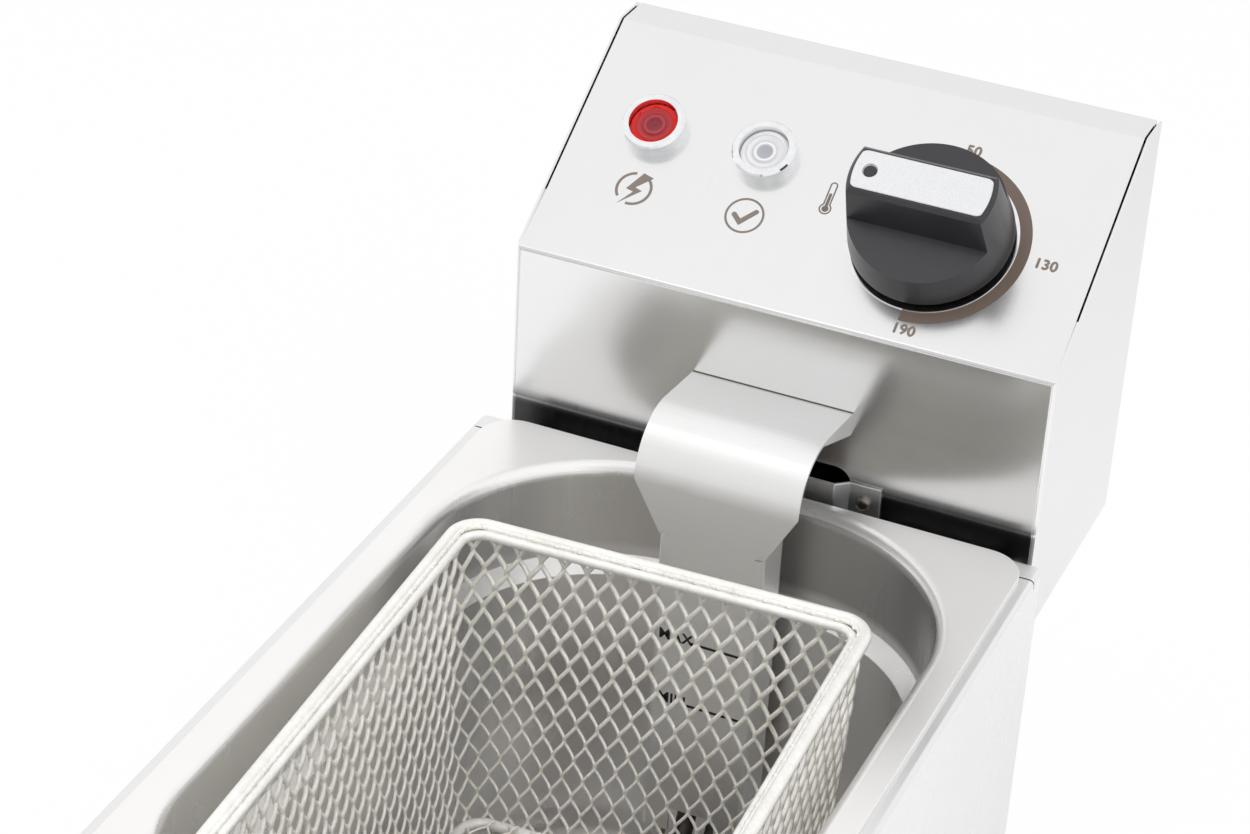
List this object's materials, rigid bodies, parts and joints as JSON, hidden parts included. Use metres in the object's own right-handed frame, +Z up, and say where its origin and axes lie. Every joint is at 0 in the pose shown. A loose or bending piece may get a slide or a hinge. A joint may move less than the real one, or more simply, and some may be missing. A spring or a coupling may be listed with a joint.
{
  "type": "countertop deep fryer",
  "caption": "Countertop deep fryer: steel casing, lift-out drawn tank, hanging control head with guarded heating element, and wire mesh basket with a folding handle.",
  "frame": {"origin": "middle of the four feet, on the worktop", "axes": "+Z up; +Y from the front towards the control head; +X to the right, seen from the front"},
  "size_m": [0.1908, 0.5326, 0.2905],
  "materials": {
    "steel_sheet": "fine vertical grain, satin",
    "steel_parts": "bright sheet",
    "fasteners": "zinc plated",
    "tank_steel": "drawn and polished",
    "guard_steel": "satin, grain across",
    "element_tube": "dark sheath",
    "foot_rubber": "matte",
    "copper_sensor": "drawn copper alloy",
    "control_body": "moulded",
    "brass_fitting": "turned",
    "red_button": "moulded",
    "chrome_bezel": "bright",
    "red_lens": "clear red, ringed",
    "clear_lens": "clear, ringed",
    "ceramic_block": "glazed",
    "gland_nylon": "moulded",
    "shaft_steel": "turned",
    "knob_black": "satin",
    "knob_silver": "satin",
    "tinned_wire": "tinned",
    "handle_steel": "plated wire",
    "grip_black": "moulded"
  },
  "bodies": {
    "casing": {"casing_shell": "steel_sheet", "base_plate": "steel_sheet", "base_screws": "fasteners", "foot_front_left": "foot_rubber", "foot_front_right": "foot_rubber", "foot_rear_left": "foot_rubber", "foot_rear_right": "foot_rubber", "foot_screws": "fasteners", "head_hanger": "steel_parts", "hanger_rivets": "steel_parts"},
    "tank": {"tank": "tank_steel"},
    "head": {"head_shell": "steel_sheet", "head_back_cover": "steel_sheet", "head_bottom_plate": "steel_sheet", "cover_screws": "fasteners", "head_hook": "steel_parts", "guard_plate": "guard_steel", "element_bracket": "steel_parts", "bracket_screws": "fasteners", "heating_element": "element_tube", "element_spacers": "steel_parts", "thermostat_body": "control_body", "thermostat_screws": "fasteners", "thermostat_capillary": "copper_sensor", "thermostat_bulb": "copper_sensor", "limiter_body": "control_body", "limiter_capillary": "copper_sensor", "limiter_bulb": "copper_sensor", "reset_bushing": "brass_fitting", "reset_nut": "fasteners", "mains_lamp_bezel": "chrome_bezel", "mains_lamp_lens": "red_lens", "mains_lamp_body": "control_body", "mains_lamp_nut": "fasteners", "heat_lamp_bezel": "chrome_bezel", "heat_lamp_lens": "clear_lens", "heat_lamp_body": "control_body", "heat_lamp_nut": "fasteners", "terminal_block": "ceramic_block", "cable_gland": "gland_nylon", "gland_nut": "gland_nylon", "knob_disc": "knob_silver"},
    "knob": {"thermostat_shaft": "shaft_steel", "knob_body": "knob_black", "knob_insert": "knob_silver"},
    "reset": {"reset_button": "red_button"},
    "basket": {"basket_rim": "tinned_wire", "basket_inner_rim": "tinned_wire", "basket_frame": "tinned_wire", "mesh_right": "tinned_wire", "mesh_rear": "tinned_wire", "mesh_left": "tinned_wire", "mesh_front": "tinned_wire", "mesh_corners": "tinned_wire", "mesh_floor": "tinned_wire", "basket_hook": "steel_parts"},
    "handle": {"handle_wires": "handle_steel", "handle_grip": "grip_black"}
  },
  "joints": [
    {"name": "head_lift", "type": "slide", "parent": "casing", "child": "head", "axis": [0, 0, 1], "range_m": [0, 0.32]},
    {"name": "tank_lift", "type": "slide", "parent": "casing", "child": "tank", "axis": [0, 0, 1], "range_m": [0, 0.16]},
    {"name": "basket_lift", "type": "slide", "parent": "head", "child": "basket", "axis": [0, 0, 1], "range_m": [0, 0.2]},
    {"name": "handle_fold", "type": "hinge", "parent": "basket", "child": "handle", "pos_m": [0.00541, -0.1162, 0.1957], "axis": [-0.999, -0.0436, 0], "range_deg": [0, 165]},
    {"name": "knob_turn", "type": "hinge", "parent": "head", "child": "knob", "pos_m": [0.0365, 0.18184, 0.26019], "axis": [0, -0.5511, 0.8344], "range_deg": [-270, 0]},
    {"name": "reset_press", "type": "slide", "parent": "head", "child": "reset", "axis": [0, -1, 0], "range_m": [0, 0.0025], "stiffness_N_per_m": 400}
  ],
  "couplings": [
    {"joint": "tank_lift", "follows": "head_lift", "ratio": 0.5}
  ]
}
